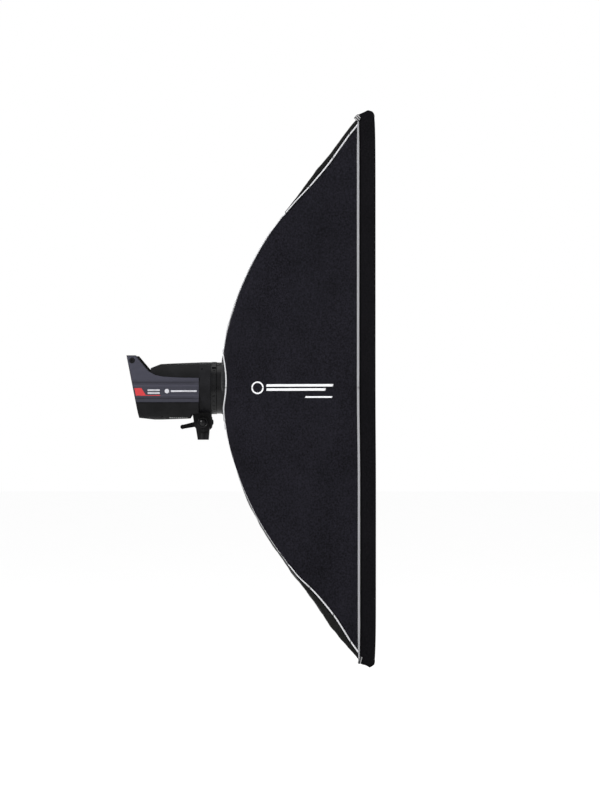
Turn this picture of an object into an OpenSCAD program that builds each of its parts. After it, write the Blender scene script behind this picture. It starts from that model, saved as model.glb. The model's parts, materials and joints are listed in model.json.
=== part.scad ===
// Strip softbox on a studio flash head with a tilting stand bracket.
// +X is the way the light shines, +Z is up, and the origin is the mouth of the stand socket.
// The softbox folds like an umbrella: four ribs swing on the speedring, and each quarter of the
// fabric belongs to one rib. Quarters are modelled on the +Y +Z side and mirrored into place.

/* [Softbox] */
// Height of the front opening
front_h = 1300; // [1200:10:1400]
// Width of the front opening
front_w = 500; // [460:10:560]
// Depth of the lip in front of the diffuser
lip_depth = 40; // [25:1:55]
// Thickness of the fabric walls
cloth_t = 1.8; // [1.2:0.1:2]
// Distance of the inner diffuser in front of the stand socket
inner_diffuser_x = 230; // [200:5:270]

/* [Ribs] */
// Radius of the bent stretch of a rib's seam
bend_r = 796; // [760:1:830]
// Lean of the seam at its root, from square to the axis
lean_root = 8; // [7:0.5:9]
// Lean of the straight stretch at the tip
lean_tip = 36; // [34:0.5:38]
// Radius of a rib rod
rod_r = 4; // [3:0.5:4]

/* [Flash head] */
// Height of the light's axis above the stand socket's mouth
axis_z = 128; // [126:1:134]
// Radius of the barrel
barrel_r = 64; // [62:1:66]
// Half width of the housing behind the barrel
body_half_w = 61; // [58:1:62]
// Wall thickness of the housing
wall = 3; // [2:0.5:4]
// Depth of the control panel in front of the housing's rear edge
panel_recess = 9; // [9:0.5:10]
// Radius of the glass dome
dome_r = 45; // [40:1:47]

/* [Stand bracket] */
// Height of the tilt axis above the socket's mouth
pivot_z = 43; // [43:1:44]
// Radius of the bore for a 16 mm stand spigot
spigot_r = 8.1; // [8.05:0.05:8.3]
// Depth of the spigot bore
spigot_depth = 34; // [30:1:35]

/* [Hidden] */
$fn = 64;

// Quadrants of the softbox: name, mirrored across the Y axis, mirrored across the Z axis
QUADRANTS = [
    ["upper_right", true, false],
    ["upper_left", false, false],
    ["lower_right", true, true],
    ["lower_left", false, true]
];
QUARTER_PARTS = [
    "rib_arm", "rib_rod", "side_panel", "end_panel",
    "front_lip", "front_diffuser", "inner_diffuser"
];

slack = 0.25;        // half the gap between neighbouring quarters
run = 0.08;          // radial clearance where one piece turns in another
black = "#1c1c1f";
fabric_black = "#202026";
panel_grey = "#4a4853";
steel = "#b8babd";

// ---- Seam of the softbox: an arc, then a straight line, in a plane parallel to the axis ----
hem_x = 49;                                   // rear hem, at the seam
root = [50, 70];                              // Y and Z of the seam at the hem
reach = [front_w / 2, front_h / 2] - root;
tip_u = norm(reach);                          // u runs along the seam's plane, away from the axis
along = reach / tip_u;
bend_cx = hem_x + bend_r * cos(lean_root);    // centre of the bend
bend_cu = -bend_r * sin(lean_root);
bend_u = bend_cu + bend_r * sin(lean_tip);    // where the straight stretch begins
bend_x = bend_cx - bend_r * cos(lean_tip);
front_x = bend_x + (tip_u - bend_u) * tan(lean_tip);

function seam_x(u) = u < bend_u
    ? bend_cx - sqrt(bend_r ^ 2 - (u - bend_cu) ^ 2)
    : bend_x + (u - bend_u) * tan(lean_tip);
function seam_y(u) = root[0] + along[0] * u;
function seam_z(u) = root[1] + along[1] * u;

// Near the speedring the walls bulge out, so that the hem is round there
side_bulge = 40;
end_bulge = 18;
hem_sweep = 8;
function fade(u) = (1 - u / tip_u) ^ 4;
function side_point(u, z) = let (round = fade(u) * (1 - (z / seam_z(u)) ^ 2))
    [seam_x(u) + hem_sweep * round, seam_y(u) + side_bulge * round, z];
function end_point(u, y) = let (round = fade(u) * (1 - (y / seam_y(u)) ^ 2))
    [seam_x(u), y, seam_z(u) + end_bulge * round];

stations = 15;
function station(i) = tip_u * (i / (stations - 1)) ^ 1.15;

// ---- Rib rod, inside the seam and parallel to it ----
rod_inset = 9;                                // from the seam to the rod's centre line
rod_side = 4;                                 // rod plane, inward from the seam's plane
rod_bend_r = bend_r - rod_inset;
pivot_lean = 7.6;
arm_lean = 12.2;
ferrule_lean = 13.2;
arm_t = 8;
eye_r = 6.5;
pin_r = 2.95;
rod_end_x = front_x - 8;
rod_straight_x = bend_cx - rod_bend_r * cos(lean_tip);
rod_straight = (rod_end_x - rod_straight_x) / sin(lean_tip);
rib_pivot = [bend_cx - rod_bend_r * cos(pivot_lean), bend_cu + rod_bend_r * sin(pivot_lean)];

// ---- Speedring and bayonet, along X ----
lock_ring_x = [21, 34];
flange_x = [35.2, 43.4];
sleeve_x = [43.6, 55.4];                      // speedring: a sleeve on the hub, and a plate behind the hem
plate_x = [51, 55.4];
keeper_x = [55.7, 58.7];
hub_end_x = 60;
hub_r = 60;
hub_bore_r = 50;
plate_r = 83;

// ---- Housing ----
barrel_x = [-8, 20];
rear_foot = [-156, 54.5];                     // X and Z of the rear face's lower edge
rear_lean = 11.06;
grip_at = [-172, 195.5];
grip_r = 9;
body_top_z = 154;
deck_x = -128;                                // front edge of the deck under the handle
deck_z = 150;

// Stacks a shape along +X, from x[0] to x[1], on the light's axis
module on_axis(x) translate([x[0], 0, axis_z]) rotate([0, 90, 0]) children();
module tube_x(x, r_out, r_in) on_axis(x) difference() {
    cylinder(h = x[1] - x[0], r = r_out, $fn = 96);
    translate([0, 0, -1]) cylinder(h = x[1] - x[0] + 2, r = r_in, $fn = 96);
}
// Cylinder along Y, from y[0] to y[1], round a point [x, z]
module pin_y(at, y, r) translate([at[0], y[0], at[1]]) rotate([-90, 0, 0])
    cylinder(h = y[1] - y[0], r = r);
// Extrudes a [x, z] outline along Y, from y[0] to y[1]
module slab_y(y, outline) translate([0, y[1], 0]) rotate([90, 0, 0])
    linear_extrude(y[1] - y[0]) polygon(outline);
// Rear panel's own frame: Z runs up the sloping rear face, and -X points out of it
module on_rear() translate([rear_foot[0], 0, rear_foot[1]]) rotate([0, -rear_lean, 0]) children();
module on_panel() on_rear() translate([panel_recess, 0, 0]) children();
module pivot_place() translate([0, 0, pivot_z]) children();

// ================= Stand bracket =================
knob_z = 9;
tongue_half = 12.4;
washer_y = [12.5, 13.7];
cheek_y = [13.8, 21];
bolt_r = 5;
yoke_r = 23;

module stand_socket() color(black) difference() {
    union() {
        slab_y([-tongue_half, tongue_half],
            [[-13.3, 0], [13.3, 0], [16, 30], [12, 40], [-12, 46], [-19, 36]]);
        cylinder(h = 17, r = 13.6);
        pin_y([0, pivot_z], [-tongue_half, tongue_half], 16);
    }
    translate([0, 0, -1]) cylinder(h = spigot_depth + 1, r = spigot_r);
    pin_y([0, pivot_z], [-30, 30], bolt_r + run);
    pin_y([0, knob_z], [0, 30], 4 + run);
}

module socket_knob() color(black) {
    pin_y([0, knob_z], [8.5, 15], 4);
    difference() {
        pin_y([0, knob_z], [14.4, 23.6], 8.9);
        for (a = [0:60:300])
            translate([0, 0, knob_z]) rotate([0, a, 0]) pin_y([9.8, 0], [14, 24], 2.4);
    }
}

module cheek(y) slab_y(y, [[-25, 70], [-25, 60], [-21.5, 38], [-18, 30], [18, 30], [20, 40], [20.5, 70]]);

module tilt_yoke() color(black) difference() {
    union() {
        for (side = [-1, 1]) {
            y = side > 0 ? cheek_y : [-cheek_y[1], -cheek_y[0]];
            cheek(y);
            pin_y([0, pivot_z], y, yoke_r);
        }
        slab_y([-14, 14], [[-25, 60.5], [20.5, 60.5], [20.5, 70], [-25, 70]]);
    }
    on_axis([-40, 60]) cylinder(h = 100, r = barrel_r + 0.1, $fn = 96);
    slab_y([-40, 40], [[-60, 55], [-27, 66], [-60, 80]]);
    pin_y([0, pivot_z], [-30, 30], bolt_r + run);
}

// Bolt through the bracket, with its round cap on the right-hand side
module tilt_bolt() color(black) {
    pin_y([0, pivot_z], [-22, 40], bolt_r);
    pin_y([0, pivot_z], [-25, -21.1], 15);
    pin_y([0, pivot_z], [-28.5, -24.9], 11.5);
}

module friction_washers() color(steel)
    for (y = [washer_y, [-washer_y[1], -washer_y[0]]]) difference() {
        pin_y([0, pivot_z], y, 15);
        pin_y([0, pivot_z], [-30, 30], bolt_r + run);
    }

lever_end = [-52.5, -11.4];
module tilt_lever() color(black) pivot_place() difference() {
    union() {
        difference() {
            pin_y([0, 0], [21.4, 34], 24.3);
            for (a = [20:40:340])
                translate([29.5 * cos(a), 0, 29.5 * sin(a)]) pin_y([0, 0], [20, 36], 6.5);
        }
        slab_y([24, 33], [[0, -8], [0, 7], lever_end + [2, 5.4], lever_end + [0, -5.2]]);
        pin_y(lever_end, [23.5, 33.5], 5.6);
    }
    pin_y([0, 0], [20, 36], bolt_r + run);
}

// ================= Flash head =================
barrel_screws = [[-1.5, 47.5], [2, -55.5]];   // X, and height above the axis
module front_barrel() color(black) {
    difference() {
        tube_x(barrel_x, barrel_r, barrel_r - wall);
        for (at = barrel_screws) for (side = [-1, 1]) {
            depth = sqrt(barrel_r ^ 2 - at[1] ^ 2) - 1.5;
            pin_y([at[0], axis_z + at[1]], side > 0 ? [depth, 80] : [-80, -depth], 2.6);
        }
    }
    tube_x([8, 12], barrel_r - 0.5, 12);
    tube_x([19, lock_ring_x[0] - 0.2], barrel_r - 1.5, 54);
    tube_x([12, 34.8], 58, 54);
}

body_side = [
    [-186, 208], [-163, 208], [-131, 170], [-115, 161], [-95, 157], [-60, 155],
    [-8.2, body_top_z], [-8.2, 66], [-27, 63], [-33, 52.5], [-114, 49.5], rear_foot
];
corner_r = 34;
corner_z = 84;
floor_z = corner_z - corner_r + wall;         // inside of the housing's floor
floor_x = -116;                               // behind here the floor rises
floor_slope = 0.12;
// Cross-section of the housing, inset by g, with round lower edges
module body_section(g) {
    for (side = [-1, 1]) translate([side * (body_half_w - corner_r), corner_z]) circle(corner_r - g);
    translate([-(body_half_w - g), corner_z]) square([2 * (body_half_w - g), 150]);
    translate([-(body_half_w - corner_r), corner_z - corner_r + g])
        square([2 * (body_half_w - corner_r), corner_r]);
}
module section_x(x, g) translate([x[0], 0, 0]) rotate([90, 0, 90])
    linear_extrude(x[1] - x[0]) body_section(g);

vent_pitch = 5.2;
vent_top = 55.5;
module bottom_shell() color(black) difference() {
    intersection() {
        slab_y([-80, 80], body_side);
        section_x([-200, 0], 0);
    }
    intersection() {
        section_x([-200, 10], wall);
        slab_y([-80, 80], [
            [-200, floor_z + floor_slope * (floor_x + 200)], [floor_x, floor_z], [20, floor_z], [20, 220],
            [deck_x, 220], [deck_x, deck_z - 5], [-200, deck_z - 5]
        ]);
    }
    slab_y([-(body_half_w - 8), body_half_w - 8],
        [[-200, deck_z], [deck_x, deck_z], [deck_x, 230], [-200, 230]]);
    for (x = [-86:vent_pitch:-38]) for (y = [[-52, -10], [10, 52]])
        slab_y(y, [[x - 2, 40], [x + 0.4, 40], [x + 2.6, vent_top], [x, vent_top]]);
    for (side = [-1, 1]) pin_y([-99, 55.5], side > 0 ? [46, 80] : [-80, -46], 3);
    tube_x([-9, 1], barrel_r + 20, barrel_r - 1);
}

top_outside = [
    [deck_x + 0.2, 150], [deck_x + 0.2, 177], [-104, 187], [-79, 188.5], [-8.2, 191.5], [-8.2, 150]
];
top_inside = [
    [deck_x + 3.2, 149], [deck_x + 3.2, 174.5], [-103.5, 183.7], [-79, 185.3], [0, 188.4], [0, 149]
];
module arch(outline, g) intersection() {
    slab_y([g + wall - body_half_w, body_half_w - wall - g], outline);
    on_axis([-140, 0]) cylinder(h = 150, r = barrel_r - g, $fn = 96);
}
module top_shell() color(black) difference() {
    arch(top_outside, 0.2);
    arch(top_inside, wall);
}

cover_side = [
    [-184.4, 206.5], [-163.7, 206.5], [-131.9, 168.8], [-115.6, 159.6], [-95.3, 155.5], [-60, 153.4],
    [-8.6, 152.5], [-8.6, 93], [-162, 93]
];
cover_grooves = [141, 138.5, 103.5, 101];     // heights of the fine horizontal lines
module side_cover() color(panel_grey) difference() {
    slab_y([body_half_w + 0.1, body_half_w + 2.8], cover_side);
    pin_y(grip_at, [50, 80], 7.3);
    for (z = cover_grooves)
        slab_y([body_half_w + 2.2, 80], [[-172, z], [-20, z], [-20, z + 0.9], [-172, z + 0.9]]);
}
module side_cover_left() side_cover();
module side_cover_right() mirror([0, 1, 0]) side_cover();

module handle_grip() color(black) pin_y(grip_at, [-(body_half_w - 8.1), body_half_w - 8.1], grip_r);

module handle_screws() color("#101012")
    for (side = [-1, 1]) mirror([0, side > 0 ? 0 : 1, 0]) difference() {
        pin_y(grip_at, [body_half_w + 0.1, body_half_w + 3], 7);
        translate([grip_at[0], body_half_w + 3.1, grip_at[1]]) rotate([90, 0, 0])
            cylinder(h = 2, r = 2.6, $fn = 6);
    }

// ---- Controls on the sloping rear face ----
panel_x = [1, 4];
panel_z = [0.4, 89.4];
display = [0, 76, 52, 22];                    // Y, Z, width, height
dial_at = [-34, 42];
button_size = [11, 8];
button_ats = [[8, 50], [8, 36]];
switch_at = [38, 20];
switch_size = [14, 22];
inlet_at = [-14, 16];
inlet_size = [28, 22];

module window(at, size, x) translate([x[0], at[0] - size[0] / 2, at[1] - size[1] / 2])
    cube([x[1] - x[0], size[0], size[1]]);

module rear_panel() color(black) difference() {
    intersection() {
        on_panel() translate([panel_x[0], -body_half_w, panel_z[0]])
            cube([panel_x[1] - panel_x[0], 2 * body_half_w, panel_z[1] - panel_z[0]]);
        section_x([-200, 0], wall + 0.2);
    }
    on_panel() {
        window([display[0], display[1]], [display[2], display[3]], [0, 5]);
        translate([0, dial_at[0], dial_at[1]]) rotate([0, 90, 0]) cylinder(h = 6, r = 3 + run);
        for (at = button_ats) window(at, button_size + [0.6, 0.6], [0, 5]);
        window(switch_at, switch_size, [0, 5]);
        window(inlet_at, inlet_size, [0, 5]);
    }
}

module display_window() color("#0b1a2a") on_panel()
    window([display[0], display[1]], [display[2] - 0.2, display[3] - 0.2], [1.6, 3.6]);

module power_dial() color("#2a2a2e") on_panel()
    translate([0, dial_at[0], dial_at[1]]) rotate([0, -90, 0]) {
        translate([0, 0, -9]) cylinder(h = 10, r = 3);
        difference() {
            translate([0, 0, 0.2]) cylinder(h = 7.8, r = 12);
            for (a = [0:30:330]) rotate([0, 0, a]) translate([12.9, 0, 1]) cylinder(h = 20, r = 1.6);
        }
    }

module button(at) color("#5b5b62") on_panel() window(at, button_size, [-1.4, 6]);
module button_up() button(button_ats[0]);
module button_down() button(button_ats[1]);

rocker_rest = 7;
module power_switch() color("#a02020") on_panel() translate([4, switch_at[0], switch_at[1]])
    rotate([0, rocker_rest, 0]) slab_y([-6.6, 6.6],
        [[-5.4, -9.2], [-3.6, 0], [-5.4, 9.2], [0, 9], [3, 3], [3, -3], [0, -9]]);

module mains_inlet() color("#121214") on_panel() difference() {
    window(inlet_at, inlet_size - [0.2, 0.2], [0.4, 15]);
    difference() {
        window(inlet_at, inlet_size - [4, 4], [-1, 12]);
        for (pin = [[-7, -5.5], [7, -5.5], [0, -3]])
            window(inlet_at + pin, [2, 4], [3, 13]);
    }
}

// ---- Inside the housing ----
module capacitor_bank() color("#2b4a7a")
    for (y = [-22, 22]) for (z = [-20, 24])
        translate([-118, y, axis_z + z]) rotate([0, 90, 0]) cylinder(h = 72, r = 19.5);

module circuit_board() color("#1f5c33") {
    translate([-133, -40, 70]) cube([115, 80, 2]);
    for (x = [-130:22:-42]) translate([x, -24, 72]) cube([12, 20, 9]);
    translate([-60, 6, 72]) cube([26, 26, 12]);
}

fan_x = [-34, -18];
module cooling_fan() color("#3a3a3e") on_axis(fan_x) {
    cylinder(h = fan_x[1] - fan_x[0], r = 14);
    for (a = [0:360 / 7:359]) rotate([0, 0, a]) translate([12, 0, 8]) rotate([35, 0, 0])
        translate([0, -1, -7]) cube([30, 2, 14]);
}

module glass_dome() color([0.85, 0.9, 0.95, 0.4]) on_axis([12.2, 0]) rotate_extrude($fn = 96)
    difference() {
        union() {
            square([dome_r, 38]);
            intersection() {
                translate([0, 38]) circle(dome_r);
                translate([0, 37]) square([dome_r, 60]);
            }
        }
        translate([-1, -1]) square([dome_r - 1.5, 39]);
        intersection() {
            translate([0, 38]) circle(dome_r - 2.5);
            translate([-1, 37]) square([dome_r, 60]);
        }
        translate([-100, -1]) square([100, 200]);
    }

module flash_tube() color([0.95, 0.95, 0.9, 0.6]) {
    on_axis([60, 0]) rotate_extrude($fn = 64) translate([30, 0]) circle(4, $fn = 32);
    for (side = [-1, 1]) translate([0, side * 30, 0]) on_axis([12.2, 0]) cylinder(h = 48, r = 3.4);
}

module modelling_lamp() color("#e8e4da") {
    tube_x([4, 36], 11.5, 4);
    on_axis([36, 0]) cylinder(h = 30, r = 9);
    on_axis([66, 0]) sphere(9);
}

// ---- Bayonet and speedring ----
knurls = 30;
module lock_ring() color(black) {
    difference() {
        tube_x(lock_ring_x, barrel_r + 0.8, 58 + run);
        tube_x([lock_ring_x[0] + 2, lock_ring_x[0] + 3.2], barrel_r + 9, barrel_r - 0.4);
        for (a = [0:360 / knurls:359]) translate([lock_ring_x[0] + 4.5, 0, axis_z]) rotate([a, 0, 0])
            translate([0, 0, barrel_r + 1.4]) rotate([0, 90, 0]) cylinder(h = 6.5, r = 1.8, $fn = 16);
    }
    translate([lock_ring_x[0] + 2, 0, axis_z]) rotate([35, 0, 0])
        translate([0, -7, barrel_r - 1.2]) cube([10, 14, 5]);
}

module bayonet_flange() color(black) {
    tube_x(flange_x, barrel_r - 0.5, hub_bore_r);
    tube_x([flange_x[1] - 0.5, hub_end_x], hub_r, hub_bore_r);
}

// The seam plane's own frame: X stays, Y runs along u, and Z points inward across the rib
module seam_plane() translate([0, root[0], root[1]]) rotate([atan2(along[1], along[0]), 0, 0]) children();
module quadrant(q) translate([0, 0, axis_z])
    mirror([0, q[1] ? 1 : 0, 0]) mirror([0, 0, q[2] ? 1 : 0]) children();

ear_gap = 0.3;
module ear(z) {
    translate([rib_pivot[0], rib_pivot[1], z]) cylinder(h = 4, r = 7);
    translate([plate_x[0] + 0.6, rib_pivot[1] - 7, z]) cube([rib_pivot[0] - plate_x[0] - 0.6, 14, 4]);
}

module speedring() color(black) difference() {
    union() {
        tube_x(sleeve_x, barrel_r - 0.3, hub_r + run);
        difference() {
            tube_x([plate_x[0], plate_x[1] + 3], plate_r, hub_r + 2);
            tube_x([plate_x[1], plate_x[1] + 5], plate_r - 3, 20);
        }
        for (q = QUADRANTS) quadrant(q) seam_plane() {
            ear(rod_side + arm_t / 2 + ear_gap);
            ear(rod_side - arm_t / 2 - ear_gap - 4);
        }
    }
    for (q = QUADRANTS) quadrant(q) seam_plane() {
        translate([plate_x[0] - 1, rib_pivot[1] - 7.5, rod_side - arm_t / 2 - ear_gap])
            cube([20, 30, arm_t + 2 * ear_gap]);
        translate([rib_pivot[0], rib_pivot[1], rod_side - 12]) cylinder(h = 24, r = pin_r + 0.05);
    }
}

module retaining_ring() color(steel) tube_x(keeper_x, 66, hub_r + 0.02);

module hinge_pins() color(steel) for (q = QUADRANTS) quadrant(q) seam_plane()
    translate([rib_pivot[0], rib_pivot[1], rod_side - 8.6]) cylinder(h = 17.2, r = pin_r);

// ================= One quarter of the softbox =================
// Bends a 2D profile round the rib's bend, between two leans
module rib_bend(lean) translate([bend_cx, bend_cu, rod_side]) rotate([0, 0, 180 - lean[1]])
    rotate_extrude(angle = lean[1] - lean[0], $fn = 360) translate([rod_bend_r, 0]) children();

module rib_arm() color(steel) seam_plane() difference() {
    union() {
        translate([rib_pivot[0], rib_pivot[1], rod_side - arm_t / 2]) cylinder(h = arm_t, r = eye_r);
        rib_bend([pivot_lean, arm_lean]) translate([-5, -arm_t / 2]) square([10, arm_t]);
        rib_bend([arm_lean - 0.1, ferrule_lean]) circle(5.5, $fn = 32);
    }
    translate([rib_pivot[0], rib_pivot[1], rod_side - 10]) cylinder(h = 20, r = pin_r + 0.06);
}

module rib_rod() color("#17171a") seam_plane() {
    rib_bend([ferrule_lean, lean_tip]) circle(rod_r, $fn = 32);
    translate([rod_straight_x, bend_cu + rod_bend_r * sin(lean_tip), rod_side])
        rotate([0, 90, 90 - lean_tip]) {
            cylinder(h = rod_straight, r = rod_r, $fn = 32);
            translate([0, 0, -9]) cylinder(h = 18, r = rod_r + 1.2, $fn = 32);
            translate([0, 0, rod_straight - 16]) cylinder(h = 16, r = 5.4, $fn = 32);
        }
}

// Closes two matching grids of points, rows by columns, into a solid sheet
module sheet(outer, inner) {
    rows = len(outer);
    cols = len(outer[0]);
    points = [for (grid = [outer, inner]) for (row = grid) for (p = row) p];
    function at(side, i, j) = (side * rows + i) * cols + j;
    function quad(a, b, c, d) = [[a, b, c], [a, c, d]];
    skins = [for (i = [0:rows - 2]) for (j = [0:cols - 2]) for (side = [0, 1]) for (f = side == 0
        ? quad(at(0, i, j), at(0, i, j + 1), at(0, i + 1, j + 1), at(0, i + 1, j))
        : quad(at(1, i, j), at(1, i + 1, j), at(1, i + 1, j + 1), at(1, i, j + 1))) f];
    ends = [for (j = [0:cols - 2]) for (i = [0, rows - 1]) for (f = i == 0
        ? quad(at(0, i, j + 1), at(0, i, j), at(1, i, j), at(1, i, j + 1))
        : quad(at(0, i, j), at(0, i, j + 1), at(1, i, j + 1), at(1, i, j))) f];
    edges = [for (i = [0:rows - 2]) for (j = [0, cols - 1]) for (f = j == 0
        ? quad(at(0, i, j), at(0, i + 1, j), at(1, i + 1, j), at(1, i, j))
        : quad(at(0, i + 1, j), at(0, i, j), at(1, i, j), at(1, i + 1, j))) f];
    polyhedron(points, concat(skins, ends, edges), convexity = 4);
}
function shifted(grid, by) = [for (row = grid) [for (p = row) p + by]];

side_columns = 7;
side_edge = 4;                                // stops short of the seam, clear of the end panel
module side_panel() color(fabric_black) {
    grid = [for (i = [0:stations - 1]) let (u = station(i), top = seam_z(u) - side_edge)
        [for (j = [0:side_columns - 1]) side_point(u, slack + (top - slack) * j / (side_columns - 1))]];
    sheet(grid, shifted(grid, [0, -cloth_t, 0]));
}

end_columns = 4;
end_edge = 2.6;
module end_panel() color(fabric_black) {
    grid = [for (i = [0:stations - 1]) let (u = station(i), out = seam_y(u) - end_edge)
        [for (j = [0:end_columns - 1]) end_point(u, out - (out - slack) * j / (end_columns - 1))]];
    sheet(grid, shifted(grid, [0.65, 0, -0.65] * cloth_t));
}

lip_t = 2;
module front_lip() color("#161618") difference() {
    translate([front_x + 1.4, slack, slack])
        cube([lip_depth - 1, front_w / 2 - slack, front_h / 2 - slack]);
    translate([front_x, -1, -1]) cube([lip_depth + 10, front_w / 2 - lip_t + 1, front_h / 2 - lip_t + 1]);
}

diffuser_t = 1.2;
module diffuser(x, half_w, half_h) color([0.95, 0.95, 0.95])
    translate([x, slack, slack]) cube([diffuser_t, half_w - slack, half_h - slack]);
module front_diffuser() diffuser(front_x + 1, front_w / 2 - lip_t - 0.5, front_h / 2 - lip_t - 0.5);
module inner_diffuser() {
    corner = [0.28 * front_w, 0.3 * front_h];
    u = bend_u + (inner_diffuser_x - rod_straight_x) / tan(lean_tip);
    strap = [seam_y(u), seam_z(u)] - corner;
    diffuser(inner_diffuser_x, corner[0], corner[1]);
    color("#2a2a2e") translate([inner_diffuser_x, corner[0], corner[1]])
        rotate([atan2(strap[1], strap[0]), 0, 0])
        translate([0, -8, -5]) cube([diffuser_t, norm(strap) - 8, 10]);
}

stand_socket();
socket_knob();
tilt_yoke();
tilt_bolt();
friction_washers();
tilt_lever();
front_barrel();
top_shell();
bottom_shell();
side_cover_right();
side_cover_left();
handle_grip();
handle_screws();
rear_panel();
display_window();
mains_inlet();
power_dial();
button_up();
button_down();
power_switch();
capacitor_bank();
circuit_board();
cooling_fan();
glass_dome();
flash_tube();
modelling_lamp();
lock_ring();
bayonet_flange();
speedring();
retaining_ring();
hinge_pins();
for (q = QUADRANTS) {
    quadrant(q) rib_arm();
    quadrant(q) rib_rod();
    quadrant(q) side_panel();
    quadrant(q) end_panel();
    quadrant(q) front_lip();
    quadrant(q) front_diffuser();
    quadrant(q) inner_diffuser();
}
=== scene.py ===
"""Strip softbox on a flash head: cloth, trim, materials, light and camera over the CAD frame."""

import json
import math

import bpy
import numpy as np
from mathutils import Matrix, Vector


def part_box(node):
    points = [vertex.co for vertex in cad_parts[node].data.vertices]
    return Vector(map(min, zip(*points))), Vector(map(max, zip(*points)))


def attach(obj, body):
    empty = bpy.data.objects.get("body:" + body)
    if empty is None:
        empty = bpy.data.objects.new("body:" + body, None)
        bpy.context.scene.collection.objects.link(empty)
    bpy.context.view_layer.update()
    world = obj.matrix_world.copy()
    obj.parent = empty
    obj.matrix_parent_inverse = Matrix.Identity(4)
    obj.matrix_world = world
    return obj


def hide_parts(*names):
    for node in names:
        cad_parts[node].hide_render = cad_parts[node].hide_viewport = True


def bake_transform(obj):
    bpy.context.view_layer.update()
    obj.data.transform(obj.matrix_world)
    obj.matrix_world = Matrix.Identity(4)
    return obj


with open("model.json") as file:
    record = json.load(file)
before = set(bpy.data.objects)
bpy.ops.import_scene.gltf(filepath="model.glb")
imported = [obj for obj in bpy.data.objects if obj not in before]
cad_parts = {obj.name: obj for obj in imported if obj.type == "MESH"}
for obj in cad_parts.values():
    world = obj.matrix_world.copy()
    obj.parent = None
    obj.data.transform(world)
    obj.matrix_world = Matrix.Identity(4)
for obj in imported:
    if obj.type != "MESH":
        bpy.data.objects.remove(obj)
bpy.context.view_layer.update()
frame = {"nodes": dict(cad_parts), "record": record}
QUARTERS = {"upper_right": (-1, 1), "upper_left": (1, 1), "lower_right": (-1, -1), "lower_left": (1, -1)}

# ---------------------------------------------------------------- softbox, as in part.scad, in mm
AXIS_Z = 128.0
ROOT = (50.0, 70.0)
REACH = (200.0, 580.0)
TIP = math.hypot(*REACH)
EY, EZ = REACH[0] / TIP, REACH[1] / TIP
BEND_R, LEAN0, LEAN1 = 796.0, math.radians(8), math.radians(36)
BEND_X, BEND_U = 49 + BEND_R * math.cos(LEAN0), -BEND_R * math.sin(LEAN0)
STRAIGHT_U = BEND_U + BEND_R * math.sin(LEAN1)
STRAIGHT_X = BEND_X - BEND_R * math.cos(LEAN1)
FRONT_Y, FRONT_Z = REACH[0] + ROOT[0], REACH[1] + ROOT[1]
CORNER = 1.6      # rounding of the cloth over a rib
CLOTH_T = 1.1     # thickness
LIP_X0, LIP_DEEP = 381, 38
PRINT_TOP, PRINT_BASE = 0.45, 0.1   # how far a print's faces stand off the cloth


def seam_x(u):
    bend = BEND_X - np.sqrt(np.maximum(BEND_R**2 - (np.minimum(u, STRAIGHT_U) - BEND_U) ** 2, 0))
    return np.where(u < STRAIGHT_U, bend, STRAIGHT_X + (u - STRAIGHT_U) * math.tan(LEAN1))


def smooth(a, b, x):
    t = np.clip((x - a) / (b - a), 0, 1)
    return t * t * (3 - 2 * t)


def ripple(p, seed, length, stretch=(1, 1, 1), waves=9):
    """Sum of sines in fixed directions, about -1 to 1."""
    rng = np.random.RandomState(seed)
    total = np.zeros(p.shape[:-1])
    for _ in range(waves):
        d = rng.normal(size=3) / np.array(stretch)
        d *= (0.7 + 0.8 * rng.rand()) / max(np.linalg.norm(d), 1e-6)
        total += np.sin(2 * math.pi * (p @ d) / length + rng.rand() * 6.283)
    return total / math.sqrt(waves) / 1.4


def plus(x):
    return 0.5 * (x + np.sqrt(x * x + 4 * CORNER**2))


# Distance from the rib to the sewn seam, by X: it leaves the rib halfway along
SEAM_X = [49, 197, 215, 240, 278, 300, 316, 340, 357, 381]
SEAM_UP = [1.5, 1.5, 4, 10.2, 20.9, 20.4, 19.9, 17.4, 15.6, 19]
SEAM_DOWN = [1.5, 1.5, 2, 10, 25, 28.5, 30.5, 27, 17.5, 16.3]
# The end cloth stands beyond the lower rib, by X, and the hem wanders, by height
BAG_X = [205, 240, 262, 276, 290, 303, 314, 328, 341, 360, 374, 381]
BAG_OUT = [0, 3.5, 1, -2, 2, 5.5, 7, 6, 4, 2, 2, 0]
HEM_Z = [-86, -69, -56, -45, -35, -22, -7, 12, 30, 49, 62, 80]
HEM_DX = [1.8, -2.5, -5.5, -5.2, -4, -1.2, 0.6, 2, 2.3, 1.5, 0.9, 0]
HEM_U = 15.0


def seam_drop(u, sz):
    """Distance from the rib to the sewn seam, smoothed along u."""
    table = SEAM_UP if sz > 0 else SEAM_DOWN
    steps = np.linspace(-24, 24, 9)
    return sum(np.interp(seam_x(np.clip(u + s, 0, TIP)), SEAM_X, table) for s in steps) / len(steps)


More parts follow.
